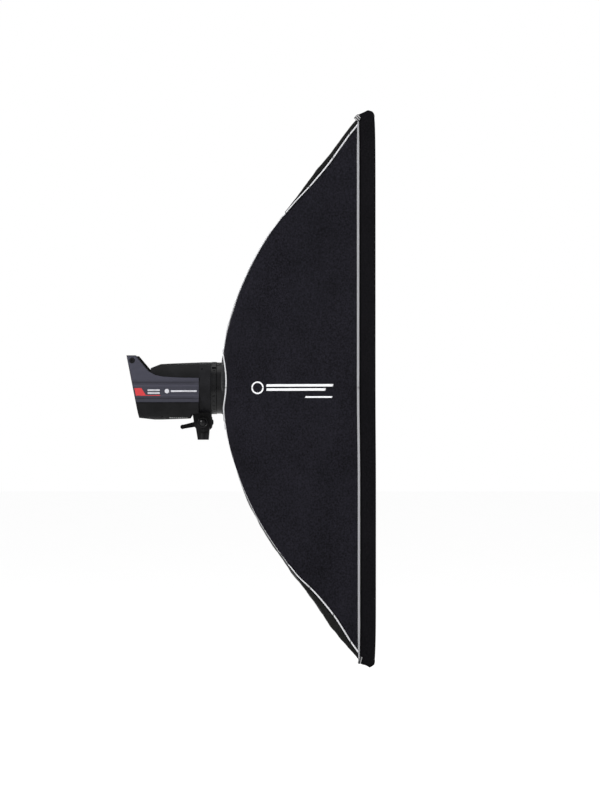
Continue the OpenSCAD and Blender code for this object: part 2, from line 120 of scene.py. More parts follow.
def cloth_raw(sy, sz, u, q):
    """The taut cloth. u runs from the hem to the front, and q across: below 0 side, above 0 end."""
    yc, zc = ROOT[0] + EY * u, ROOT[1] + EZ * u
    f = (1 - u / TIP) ** 4
    zs, ys = zc - plus(-q), yc - plus(q)
    side = 1 - (zs / zc) ** 2
    x = seam_x(u) + 8 * f * side
    y = ys + 40 * f * side
    z = zs + 18 * f * (1 - (ys / yc) ** 2)
    if sz > 0:
        tuck = 4 * smooth(470, 525, u) + smooth(580, 605, u)
    else:
        tuck = 2 * smooth(580, 605, u)
        x = x + (3.4 + 0.8 * smooth(50, 350, u)) * (1 - smooth(380, 520, u)) * smooth(0, 70, z)
        x = x + 2.0 * smooth(450, TIP, u) * smooth(0, 220, z)
        bag = sum(np.interp(seam_x(np.clip(u + d, 0, TIP)), BAG_X, BAG_OUT) for d in (-12, 0, 12)) / 3
        z = z + bag * smooth(-26, -4, q) * (1 - 0.5 * smooth(20, 160, q))
    wander = sum(np.interp(sz * zs + d, HEM_Z, HEM_DX) for d in (-8, -4, 0, 4, 8)) / 5
    x = x + wander * np.exp(-(u - HEM_U) / 28)
    z = z - tuck * smooth(-90, -30, q)
    return np.stack([x, sy * y, AXIS_Z + sz * z], -1)


def cloth(sy, sz, u, q, out=0.0):
    """The cloth with its slack, wrinkles and bulges, moved out by out."""
    u, q = np.broadcast_arrays(np.asarray(u, float), np.asarray(q, float))
    p = cloth_raw(sy, sz, u, q)
    w = 0.5 + 0.5 * q / np.sqrt(q * q + 225)
    way = np.stack([-0.79 * w, sy * (1 - w), sz * 0.61 * w], -1)
    way /= np.linalg.norm(way, axis=-1, keepdims=True)
    t = u / TIP
    fade = smooth(HEM_U, 60, u) * smooth(0, 26, TIP - u)
    yc = ROOT[0] + EY * u
    zc = ROOT[1] + EZ * u
    across = np.clip(p[..., 1] / yc, -1, 1)
    up = np.clip((p[..., 2] - AXIS_Z) / zc, -1, 1)
    # side: nearly flat, a slow billow and faint pull lines from the corners
    slow = 0.9 * ripple(p, 3, 210) + 0.35 * ripple(p, 4, 62)
    hollow = -2.2 * (1 - up**2) * np.sin(np.pi * np.clip(t, 0, 1)) ** 2
    pull = 0.45 * ripple(p, 8, 46, (3.2, 1, 1.1)) * smooth(0.55, 1, t)
    side = slow + hollow + pull
    # end: slack, so it stands out beyond the ribs and creases
    swell = np.sin(np.pi * np.clip((t - 0.22) / 0.78, 0, 1)) ** 0.8
    slack = (7.5 if sz < 0 else 5.0) * swell * (1 - across**2) ** 0.8
    crease = (2.2 if sz < 0 else 1.5) * ripple(p, 5, 74, (0.75, 0.5, 2.4)) * smooth(0.15, 0.5, t)
    small = (1.1 if sz < 0 else 0.6) * ripple(p, 6, 31, (0.8, 0.8, 1.4)) * smooth(0.3, 0.6, t)
    end = slack + (crease + small) * (1 - 0.75 * np.exp(-((q / 26) ** 2)))
    d = (1 - w) * side + w * end
    # the strip between the seam and the rib stands out a little
    drop = seam_drop(u, sz)
    strip = smooth(-drop - 6, -drop * 0.45, q) * smooth(30, 2, q) * smooth(5, 16, drop)
    d = d * (1 - strip) + strip * (0.8 + (1.3 if sz < 0 else 0.5) * (0.6 + ripple(p, 7, 34)))
    d = np.where(np.abs(q) < 30, np.maximum(d, -0.3), d)
    return p + way * (d * fade + out)[..., None]


def cloth_normal(sy, sz, u, q):
    e = 1.5
    du = cloth(sy, sz, np.minimum(u + e, TIP), q) - cloth(sy, sz, np.maximum(u - e, 0), q)
    dq = cloth(sy, sz, u, q + e) - cloth(sy, sz, u, q - e)
    n = np.cross(dq, du) * sy * sz
    return n / np.linalg.norm(n, axis=-1, keepdims=True)


def mid_side(u):
    """q where the side cloth meets the middle plane."""
    zc = ROOT[1] + EZ * u
    return -(zc - CORNER**2 / zc)


def mid_end(u):
    yc = ROOT[0] + EY * u
    return yc - CORNER**2 / yc


# ---------------------------------------------------------------- mesh helpers
def mesh_piece(name, points, faces, materials, body, slots=None, normals=None, smooth_faces=True):
    """A mesh from points in mm, riding on a body when one is given."""
    me = bpy.data.meshes.new(name)
    me.from_pydata((np.asarray(points) / 1000).tolist(), [], [list(map(int, f)) for f in faces])
    for m in materials:
        me.materials.append(m)
    if slots is not None:
        me.polygons.foreach_set("material_index", np.asarray(slots, np.int32))
    me.polygons.foreach_set("use_smooth", np.full(len(me.polygons), smooth_faces))
    me.update()
    if normals is not None:
        me.normals_split_custom_set_from_vertices(np.asarray(normals).tolist())
    obj = bpy.data.objects.new(name, me)
    bpy.context.scene.collection.objects.link(obj)
    if body:
        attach(obj, body)
    return obj


def grid_faces(rows, cols, start=0, flip=False, wrap=False):
    i, j = np.meshgrid(np.arange(rows - 1), np.arange(cols if wrap else cols - 1), indexing="ij")
    k = (j + 1) % cols
    f = np.stack([i * cols + j, i * cols + k, (i + 1) * cols + k, (i + 1) * cols + j], -1)
    f = f.reshape(-1, 4) + start
    return f[:, ::-1] if flip else f


def shell(outer, inner, flip=False):
    """Points and faces of a closed sheet between two grids, and each face's layer: 0 outer, 1 inner."""
    rows, cols = outer.shape[:2]
    n = rows * cols
    points = np.concatenate([outer.reshape(-1, 3), inner.reshape(-1, 3)])
    a = np.arange(n).reshape(rows, cols)
    ring = np.concatenate([a[0, :-1], a[:-1, -1], a[-1, :0:-1], a[:0:-1, 0]])
    nxt = np.roll(ring, -1)
    rim = np.stack([ring, ring + n, nxt + n, nxt], -1)
    if flip:
        rim = rim[:, ::-1]
    faces = [*grid_faces(rows, cols, 0, flip), *grid_faces(rows, cols, n, not flip), *rim]
    layers = [0] * ((rows - 1) * (cols - 1)) + [1] * ((rows - 1) * (cols - 1)) + [0] * len(rim)
    return points, faces, layers


def sweep(path, across, height, width, sides=10, closed_ends=True, squareness=2.0):
    """A tube along path. across is its sideways direction at each point, width and height its half sizes."""
    path = np.asarray(path, float)
    tangent = np.gradient(path, axis=0)
    tangent /= np.linalg.norm(tangent, axis=1, keepdims=True)
    across = np.asarray(across, float) - (np.asarray(across) * tangent).sum(1, keepdims=True) * tangent
    across /= np.linalg.norm(across, axis=1, keepdims=True)
    up = np.cross(tangent, across)
    a = np.linspace(0, 2 * math.pi, sides, endpoint=False)
    c = np.sign(np.cos(a)) * np.abs(np.cos(a)) ** (2 / squareness)
    s = np.sign(np.sin(a)) * np.abs(np.sin(a)) ** (2 / squareness)
    width = np.broadcast_to(np.asarray(width, float), (len(path),))
    height = np.broadcast_to(np.asarray(height, float), (len(path),))
    rings = (path[:, None] + across[:, None] * (c[None, :, None] * width[:, None, None])
             + up[:, None] * (s[None, :, None] * height[:, None, None]))
    points = rings.reshape(-1, 3)
    faces = list(grid_faces(len(path), sides, 0, False, True))
    if closed_ends:
        faces += [list(range(sides - 1, -1, -1)), list(range(len(points) - sides, len(points)))]
    return points, faces


def joined(parts):
    """One points and faces list from several."""
    points, faces, start = [], [], 0
    for p, f in parts:
        points.append(np.asarray(p, float))
        faces += [[int(i) + start for i in face] for face in f]
        start += len(p)
    return np.concatenate(points), faces


def softly(obj):
    """Bakes the piece's transform into its mesh."""
    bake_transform(obj)


# ---------------------------------------------------------------- materials
def srgb(*c):
    return tuple(((v / 255 + 0.055) / 1.055) ** 2.4 if v > 10 else v / 255 / 12.92 for v in c) + (1,)


class Shader:
    """A Principled material with its textures in object space, in metres."""

    def __init__(self, name, rough=0.6, metal=0.0, spec=0.5, coat=0.0, sheen=0.0, transmission=0.0, ior=1.45):
        self.material = bpy.data.materials.new(name)
        self.material.use_nodes = True
        self.tree = self.material.node_tree
        self.bsdf = self.tree.nodes["Principled BSDF"]
        for key, value in (("Roughness", rough), ("Metallic", metal), ("Specular IOR Level", spec),
                           ("Coat Weight", coat), ("Sheen Weight", sheen),
                           ("Transmission Weight", transmission), ("IOR", ior)):
            self.bsdf.inputs[key].default_value = value
        self.coords = self.tree.nodes.new("ShaderNodeTexCoord").outputs["Object"]
        self.height = None

    def node(self, kind, inputs=None, **props):
        n = self.tree.nodes.new(kind)
        for k, v in props.items():
            setattr(n, k, v)
        for k, v in (inputs or {}).items():
            if isinstance(v, bpy.types.NodeSocket):
                self.tree.links.new(v, n.inputs[k])
            else:
                n.inputs[k].default_value = v
        return n

    def noise(self, scale, detail=3.0, rough=0.55, stretch=(1, 1, 1)):
        m = self.node("ShaderNodeMapping", {"Vector": self.coords, "Scale": stretch})
        return self.node("ShaderNodeTexNoise", {"Vector": m.outputs[0], "Scale": scale, "Detail": detail,
                                                "Roughness": rough}).outputs["Fac"]

    def wave(self, scale, direction="Z", distortion=0.0, rotate=(0, 0, 0)):
        m = self.node("ShaderNodeMapping", {"Vector": self.coords, "Rotation": rotate})
        values = {"Vector": m.outputs[0], "Scale": scale, "Distortion": distortion}
        return self.node("ShaderNodeTexWave", values, bands_direction=direction).outputs["Fac"]

    def ramp(self, fac, stops):
        n = self.node("ShaderNodeValToRGB", {"Fac": fac})
        e = n.color_ramp.elements
        while len(e) < len(stops):
            e.new(0.5)
        for el, (pos, colour) in zip(e, stops):
            el.position, el.color = pos, colour
        return n.outputs["Color"]

    def maths(self, kind, a, b=0.0):
        return self.node("ShaderNodeMath", {0: a, 1: b}, operation=kind).outputs[0]

    def colour(self, socket):
        self.tree.links.new(socket, self.bsdf.inputs["Base Color"])
        return self

    def rough(self, fac, low, high):
        n = self.node("ShaderNodeMapRange", {"Value": fac, "To Min": low, "To Max": high})
        self.tree.links.new(n.outputs[0], self.bsdf.inputs["Roughness"])
        return self

    def bump(self, height, distance, strength=1.0):
        values = {"Height": height, "Distance": distance, "Strength": strength}
        if self.height is not None:
            values["Normal"] = self.height
        self.height = self.node("ShaderNodeBump", values).outputs[0]
        self.tree.links.new(self.height, self.bsdf.inputs["Normal"])
        return self


def fabric(name, dark, light, weave=900.0, mottle=300.0, rough=0.85, sheen=0.0, spec=0.25, depth=0.00025):
    s = Shader(name, rough=rough, spec=spec, sheen=sheen)
    s.bsdf.inputs["Sheen Roughness"].default_value = 0.5
    speck = s.noise(mottle, 4, 0.7)
    cloud = s.noise(9, 2)
    mixed = s.maths("ADD", s.maths("MULTIPLY", speck, 0.8), s.maths("MULTIPLY", cloud, 0.2))
    s.colour(s.ramp(mixed, [(0.36, dark), (0.64, light)]))
    s.rough(speck, rough - 0.12, min(rough + 0.1, 1))
    threads = s.maths("MULTIPLY", s.wave(weave, "Z"), s.wave(weave, "X"))
    return s.bump(threads, depth, 0.5).bump(speck, depth * 2.5, 0.6).material


def plastic(name, dark, light, rough=0.5, grain=1400.0, depth=0.00012, spec=0.4, coat=0.0):
    s = Shader(name, rough=rough, spec=spec, coat=coat)
    fine, cloud = s.noise(grain, 2), s.noise(22, 3)
    s.colour(s.ramp(cloud, [(0.35, dark), (0.68, light)]))
    s.rough(s.noise(60, 3), rough - 0.07, rough + 0.1)
    return s.bump(fine, depth, 0.6).material


def metal(name, dark, light, rough=0.3, stretch=(1, 1, 1), scale=600.0):
    s = Shader(name, rough=rough, metal=1.0)
    grain = s.noise(scale, 3, 0.6, stretch)
    s.colour(s.ramp(grain, [(0.3, dark), (0.7, light)]))
    s.rough(grain, rough - 0.08, rough + 0.14)
    return s.bump(grain, 0.00005, 0.4).material


def webbing(name, dark, light, pitch=700.0, direction="Z", rough=0.6, spec=0.4, metallic=0.0):
    s = Shader(name, rough=rough, spec=spec, metal=metallic, sheen=0.1)
    rib = s.wave(pitch, direction)
    cross = s.wave(pitch * 0.7, "X", rotate=(0.4, 0.3, 0.5))
    speck = s.noise(500, 3)
    mixed = s.maths("ADD", s.maths("MULTIPLY", rib, 0.5), s.maths("MULTIPLY", speck, 0.5))
    s.colour(s.ramp(mixed, [(0.25, dark), (0.7, light)]))
    return s.bump(s.maths("ADD", rib, cross), 0.0002, 0.5).material


def glass(name, tint, rough, transmission, bumpy=0.0002, ior=1.47):
    s = Shader(name, rough=rough, transmission=transmission, ior=ior)
    cloud = s.noise(30, 2)
    s.colour(s.ramp(cloud, [(0.3, tint), (0.7, tuple(min(1, c * 1.05) for c in tint[:3]) + (1,))]))
    return s.bump(s.noise(240, 3), bumpy, 0.4).material


CLOTH = fabric("black_cloth", srgb(10, 10, 13), srgb(32, 31, 38), mottle=230, spec=0.06)
# The ends are the same black cloth as the sides, painted a little darker and more neutral: painted shade
SHADED_END_CLOTH = fabric("end_cloth", srgb(9, 9, 9), srgb(29, 29, 28), mottle=240, sheen=0.06, spec=0.1)
LIP = fabric("lip_cloth", srgb(8, 8, 10), srgb(21, 20, 23), mottle=240, spec=0.05)
# Near-black strips, wider than the piping, lie under it as painted shadow along the piping's edges
PIPING_SHADOW = fabric("piping_painted_shadow", srgb(3, 3, 3), srgb(8, 8, 8), mottle=500, spec=0.03)
WHITE = fabric("diffuser_cloth", srgb(226, 226, 224), srgb(244, 244, 242), weave=1100, mottle=500, rough=0.9,
               sheen=0.1, spec=0.2, depth=0.0001)
lining = Shader("silver_lining", rough=0.34, metal=0.85)
lining.colour(lining.ramp(lining.noise(120, 4, 0.6),
                          [(0.3, srgb(168, 170, 174)), (0.7, srgb(214, 216, 219))]))
lining.bump(lining.noise(160, 3), 0.0006, 0.6)
SILVER = lining.bump(lining.wave(700, "Z"), 0.00012, 0.5).material
PIPING = webbing("grey_piping", srgb(124, 124, 127), srgb(164, 164, 168), 420)
PALE = webbing("pale_piping", srgb(186, 186, 189), srgb(222, 222, 225), 520, rough=0.5)
TAB = webbing("tab_webbing", srgb(120, 120, 122), srgb(205, 205, 204), 900, "Y", rough=0.4, metallic=0.3)
THREAD = webbing("thread", srgb(44, 44, 48), srgb(80, 80, 86), 2500, "Y")
DARK_THREAD = webbing("dark_thread", srgb(16, 16, 18), srgb(40, 40, 46), 2500, "Y")
ELASTIC = webbing("elastic", srgb(13, 13, 15), srgb(30, 30, 34), 650, "X", rough=0.75, spec=0.2)
PRINT = fabric("white_print", srgb(214, 214, 218), srgb(240, 240, 242), mottle=260, rough=0.6, depth=0.0001)
HOUSING = plastic("black_plastic", srgb(14, 14, 15), srgb(23, 23, 25), 0.5, spec=0.13)
SOFT_BLACK = plastic("soft_black_plastic", srgb(10, 10, 11), srgb(20, 20, 22), 0.6, grain=900, spec=0.15)
RUBBER = plastic("grip_rubber", srgb(12, 12, 13), srgb(22, 22, 24), 0.78, grain=700, depth=0.0002, spec=0.12)
BARREL = plastic("barrel_plastic", srgb(17, 17, 19), srgb(26, 26, 29), 0.5, grain=1500, spec=0.14)
BLACK_PAINT = plastic("black_paint", srgb(10, 10, 11), srgb(20, 20, 22), 0.28, grain=2400,
                      depth=0.00005, spec=0.3)
BRACKET = plastic("bracket_paint", srgb(10, 10, 11), srgb(21, 21, 23), 0.34, grain=1200,
                  depth=0.0001, spec=0.26)

# Side cover: a satin plastic. Its colour by height carries thin light and dark lines, the painted highlights
# and painted shade of moulded steps, and it is painted darker towards the bottom and lighter at the top as
# painted shade and light
cover = Shader("side_cover_plastic", rough=0.42, spec=0.2)
along = cover.node("ShaderNodeSeparateXYZ", {"Vector": cover.coords}).outputs["Z"]
level = cover.node("ShaderNodeMapRange", {"Value": along, "From Min": 0.09, "From Max": 0.15}).outputs[0]
# painted shade lines, the plain colour and painted highlight lines
PAINTED_SHADE_LINE, PLAIN, PAINTED_HIGHLIGHT_LINE = srgb(42, 42, 49), srgb(55, 55, 64), srgb(66, 66, 77)
cover.colour(cover.ramp(level, [(0.0, srgb(46, 46, 54)), (0.16, PLAIN), (0.2, PAINTED_SHADE_LINE), (0.24, PLAIN),
                                (0.31, PLAIN), (0.335, PAINTED_HIGHLIGHT_LINE), (0.36, PLAIN),
                                (0.68, PLAIN), (0.72, PAINTED_HIGHLIGHT_LINE), (0.76, PLAIN),
                                (0.84, PLAIN), (0.865, PAINTED_SHADE_LINE), (0.9, PLAIN), (1.0, srgb(60, 60, 70))]))
cover.rough(cover.noise(60, 3), 0.36, 0.5)
COVER = cover.bump(cover.noise(1800, 2), 0.00006, 0.6).material
STEEL = metal("steel", srgb(150, 152, 156), srgb(196, 198, 202), 0.3, (1, 6, 1))
ROD = metal("dark_rod", srgb(42, 42, 45), srgb(66, 66, 70), 0.36, (1, 1, 6))
BUTTON = plastic("button_grey", srgb(96, 96, 104), srgb(122, 122, 130), 0.5)
RED = plastic("red_rocker", srgb(150, 24, 26), srgb(182, 34, 34), 0.28, coat=0.4)
BADGE = plastic("red_badge", srgb(184, 52, 56), srgb(204, 64, 68), 0.4)
LIGHT_PRINT = plastic("light_print", srgb(176, 176, 182), srgb(206, 206, 212), 0.4)
CAPACITOR = plastic("capacitor_sleeve", srgb(28, 52, 96), srgb(40, 70, 122), 0.3, coat=0.5)
FAN = plastic("fan_plastic", srgb(26, 26, 28), srgb(40, 40, 43), 0.45)
DOME = glass("frosted_dome", (0.93, 0.95, 0.97, 1), 0.35, 0.85)
TUBE = glass("flash_tube_glass", (0.97, 0.96, 0.92, 1), 0.12, 0.8)
LAMP = glass("lamp_glass", (0.98, 0.95, 0.86, 1), 0.25, 0.6)

board = Shader("circuit_board", rough=0.4, coat=0.3)
tracks = board.node("ShaderNodeTexBrick", {"Vector": board.coords, "Scale": 60.0, "Mortar Size": 0.03,
                                           "Color1": srgb(22, 84, 44), "Color2": srgb(27, 98, 52),
                                           "Mortar": srgb(120, 140, 70)})
board.colour(tracks.outputs["Color"])
BOARD = board.bump(tracks.outputs["Fac"], 0.0001, 0.5).material

screen = Shader("display_glass", rough=0.12, coat=0.8)
bars = screen.wave(22, "Y")
screen.colour(screen.ramp(bars, [(0.4, srgb(8, 16, 28)), (0.75, srgb(20, 40, 66))]))
DISPLAY = screen.bump(screen.noise(300), 0.00002, 0.3).material

NODE_MATERIALS = {
    BRACKET: ["stand_socket", "tilt_yoke", "tilt_bolt", "tilt_lever"],
    SOFT_BLACK: ["socket_knob", "power_dial", "handle_screws", "rear_panel", "mains_inlet"],
    STEEL: ["friction_washers", "retaining_ring", "hinge_pins"] + ["rib_arm_" + q for q in QUARTERS],
    BARREL: ["front_barrel"],
    BLACK_PAINT: ["lock_ring", "bayonet_flange", "speedring"],
    HOUSING: ["top_shell", "bottom_shell"],
    COVER: ["side_cover_right", "side_cover_left"],
    RUBBER: ["handle_grip"],
    DISPLAY: ["display_window"],
    BUTTON: ["button_up", "button_down"],
    RED: ["power_switch"],
    CAPACITOR: ["capacitor_bank"],
    BOARD: ["circuit_board"],
    FAN: ["cooling_fan"],
    DOME: ["glass_dome"],
    TUBE: ["flash_tube"],
    LAMP: ["modelling_lamp"],
    ROD: ["rib_rod_" + q for q in QUARTERS],
}
for mat, names in NODE_MATERIALS.items():
    for name in names:
        data = frame["nodes"][name].data
        data.materials.clear()
        data.materials.append(mat)

# Softened edges on the moulded and cast parts
SOFT_EDGES = {
    0.0007: ["top_shell", "bottom_shell", "side_cover_right", "side_cover_left", "tilt_yoke", "stand_socket",
             "tilt_lever", "tilt_bolt", "socket_knob", "power_dial", "front_barrel"],
    0.0004: ["lock_ring", "bayonet_flange", "speedring", "button_up", "button_down", "power_switch",
             "handle_screws", "display_window", "rear_panel"],
}
for width, names in SOFT_EDGES.items():
    for name in names:
        bevel = frame["nodes"][name].modifiers.new("edge", "BEVEL")
        bevel.width = width
        bevel.segments = 2
        bevel.limit_method = "ANGLE"
        bevel.angle_limit = math.radians(40)
        bevel.harden_normals = True
        bevel.use_clamp_overlap = True

# ---------------------------------------------------------------- cloth quarters
U = HEM_U + (TIP - HEM_U) * np.linspace(0, 1, 92) ** 1.1
SIDE_COLS, END_COLS = 62, 46


def area_of(grid):
    a = np.linalg.norm(np.cross(grid[1:, 1:] - grid[:-1, :-1], grid[1:, :-1] - grid[:-1, 1:]), axis=-1)
    return float(a.sum() / 2) / 1e6


def both_ways(normal):
    """Normals of a sheet's outer grid, then of its inner one."""
    return np.concatenate([normal.reshape(-1, 3), -normal.reshape(-1, 3)])


def cloth_piece(name, sy, sz, cols, node, outside):
    u = np.repeat(U[:, None], cols.shape[1], 1)
    outer = cloth(sy, sz, u, cols)
    inner = cloth(sy, sz, u, cols, -CLOTH_T)
    normal = cloth_normal(sy, sz, u, cols)
    points, faces, layers = shell(outer, inner, flip=sy * sz < 0)
    obj = mesh_piece(name, points, faces, [outside, SILVER], None, layers, both_ways(normal))
    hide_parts(node)
    return obj, area_of(outer)


for q, (sy, sz) in QUARTERS.items():
    drop = seam_drop(U, sz)
    s = np.linspace(0, 1, SIDE_COLS) ** 0.92
    side_cols = mid_side(U)[:, None] * (1 - s) - drop[:, None] * s
    side, area = cloth_piece("side_cloth_" + q, sy, sz, side_cols, "side_panel_" + q, CLOTH)
    softly(side)

    strip = np.linspace(-1, 0, 9)[:-1]
    panel = np.linspace(0, 1, END_COLS) ** 1.25
    end_cols = np.concatenate([strip[None] * drop[:, None], panel[None] * mid_end(U)[:, None]], 1)
    end, area = cloth_piece("end_cloth_" + q, sy, sz, end_cols, "end_panel_" + q, SHADED_END_CLOTH)
    softly(end)

# ---------------------------------------------------------------- front lip
LIP_X = np.array([381.2, 383, 387, 392, 397, 400.5, 403, 406, 410, 413, 415.5, 417.4, 418.6, 418.9])
LIP_CROWN = {1: ([381, 402, 409, 414.2, 418.2, 418.9], [-1.8, 9.4, 7.8, 6.5, 1.0, -1.5]),
             -1: ([381, 383.5, 393, 399, 405, 412, 418, 418.9], [3, 7.5, 9.6, 11.8, 15.7, 11.8, 8, 3.5])}


def lip_surface(sy, sz, x, q, out=0.0, inside=False):
    """The lip in front of the cloth. q is as on the cloth, at the front."""
    x, q = np.broadcast_arrays(np.asarray(x, float), np.asarray(q, float))
    zs, ys = FRONT_Z - plus(-q), FRONT_Y - plus(q)
    t = np.clip((x - LIP_X0) / LIP_DEEP, 0, 1)
    crown = np.interp(x, *LIP_CROWN[sz])
    if inside:
        crown = np.minimum(crown, 0) + np.maximum(crown, 0) * smooth(384, 394, x)
    y = ys - 0.6 * np.sin(np.pi * t)
    z = zs + crown * smooth(-30, 2, q)
    x = x - 3.2 * np.exp(-np.abs(q) / 34) * t**2
    if sz > 0:
        x = x - 4.2 * (1 - t) ** 3 * smooth(-14, -5, q) * smooth(40, 5, q)
    else:
        x = x + 1.0 * smooth(0, 220, z)
    p = np.stack([x, sy * y, AXIS_Z + sz * z], -1)
    w = 0.5 + 0.5 * q / np.sqrt(q * q + 25)
    way = np.stack([np.zeros_like(w), sy * (1 - w), sz * w], -1)
    way /= np.linalg.norm(way, axis=-1, keepdims=True)
    wavy = 0.5 * ripple(p, 11, 120) + 0.8 * smooth(0.3, 1, t) * ripple(p, 12, 180, (0.5, 1, 1))
    return p + way * (wavy * smooth(0, 0.2, t) + out)[..., None]


for q, (sy, sz) in QUARTERS.items():
    left = np.linspace(0, 1, 70) ** 0.8
    right = np.linspace(0, 1, 34)[1:] ** 1.25
    cols = np.concatenate([mid_side(TIP) * (1 - left), mid_end(TIP) * right])
    xs, qs = np.meshgrid(LIP_X, cols, indexing="ij")
    thick = np.interp(LIP_X, [381, 409, 412, 417.5, 418.9], [1.5, 1.5, 2.6, 2.6, 1.2])[:, None]
    outer, inner = lip_surface(sy, sz, xs, qs), lip_surface(sy, sz, xs, qs, -thick, True)
    e = 1.0
    dx = lip_surface(sy, sz, xs + e, qs) - lip_surface(sy, sz, xs - e, qs)
    dq = lip_surface(sy, sz, xs, qs + e) - lip_surface(sy, sz, xs, qs - e)
    normal = np.cross(dq, dx) * sy * sz
    normal /= np.linalg.norm(normal, axis=-1, keepdims=True)
    points, faces, layers = shell(outer, inner, flip=sy * sz < 0)
    lip = mesh_piece("lip_cloth_" + q, points, faces, [LIP, LIP], None, layers, both_ways(normal))
    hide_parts("front_lip_" + q)
    softly(lip)

# ---------------------------------------------------------------- diffusers
def flat_cloth(name, q, x, half_y, half_z, cells, node, bulge):
    """A quarter of a white cloth across the light, its edge turned over into a thicker hem."""
    sy, sz = QUARTERS[q]

    def height(y, z):
        edge = np.minimum(half_y - np.abs(y), half_z - np.abs(z))
        calm = smooth(0, 60, edge)
        p = np.stack([np.full_like(y, x), y, z], -1)
        pulls = 0.5 * calm * ripple(p, 21, 130) + 0.35 * smooth(0, 9, edge) * ripple(p, 22, 24, (1, 1, 3))
        folds = -0.5 * np.exp(-((np.abs(z) - 0.5 * half_z) / 2.2) ** 2) * calm
        return x + bulge * calm * (1 - (y / half_y) ** 2) * (1 - (z / half_z) ** 2) + pulls + folds

    v = np.linspace(0, 1, cells[0]) ** 0.9
    w = np.linspace(0, 1, cells[1]) ** 0.9
    z, y = np.meshgrid(sz * w * half_z, sy * v * half_y, indexing="ij")
    p = np.stack([height(y, z), y, AXIS_Z + z], -1)
    back = p.copy()
    back[..., 0] -= np.where(np.minimum(half_y - np.abs(y), half_z - np.abs(z)) < 7, 1.3, 0.6)
    e = 1.0
    normal = np.stack([np.full_like(y, 2 * e), height(y - e, z) - height(y + e, z),
                       height(y, z - e) - height(y, z + e)], -1)
    normal /= np.linalg.norm(normal, axis=-1, keepdims=True)
    points, faces, layers = shell(p, back, flip=sy * sz < 0)
    obj = mesh_piece(name, points, faces, [WHITE], None, None, both_ways(normal))
    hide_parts(node)
    return obj


for q, (sy, sz) in QUARTERS.items():
    front = flat_cloth("front_cloth_" + q, q, 382.2, 247.4, 647.4, (40, 90), "front_diffuser_" + q, 3.0)
    softly(front)
    baffle = flat_cloth("inner_cloth_" + q, q, 230.8, 140, 390, (26, 64), "inner_diffuser_" + q, 2.0)
    softly(baffle)
    # elastic strap from the inner cloth's corner to the rod, with its ring
    a = np.array([230.6, sy * 136, AXIS_Z + sz * 386])
    b = np.array([230.6, sy * 175, AXIS_Z + sz * 440])
    t = np.linspace(0, 1, 14)[:, None]
    path = a + (b - a) * t + np.array([0.5, 0, 0]) * np.sin(np.pi * t)
    strap = sweep(path, np.repeat([[0.0, sz * 0.8, -sy * 0.58]], 14, 0), 0.6, 5, 12, squareness=6)
    turn = np.linspace(0, 2 * math.pi, 25)
    out = (b - a) / np.linalg.norm(b - a)
    side = np.array([0, -out[2], out[1]])
    loop = b + out * 5 + np.outer(np.cos(turn), out) * 5.5 + np.outer(np.sin(turn), side) * 5.5
    ring = sweep(loop, np.repeat([[1.0, 0, 0]], 25, 0), 0.9, 0.9, 8, closed_ends=False)
    obj = mesh_piece("inner_strap_" + q, *joined([strap, ring]), [ELASTIC], None)
    softly(obj)

# ---------------------------------------------------------------- piping, hem, tabs and stitches
def on_cloth(sy, sz, u, q, out):
    n = cloth_normal(sy, sz, u, q)
    return cloth(sy, sz, u, q) + n * out, n


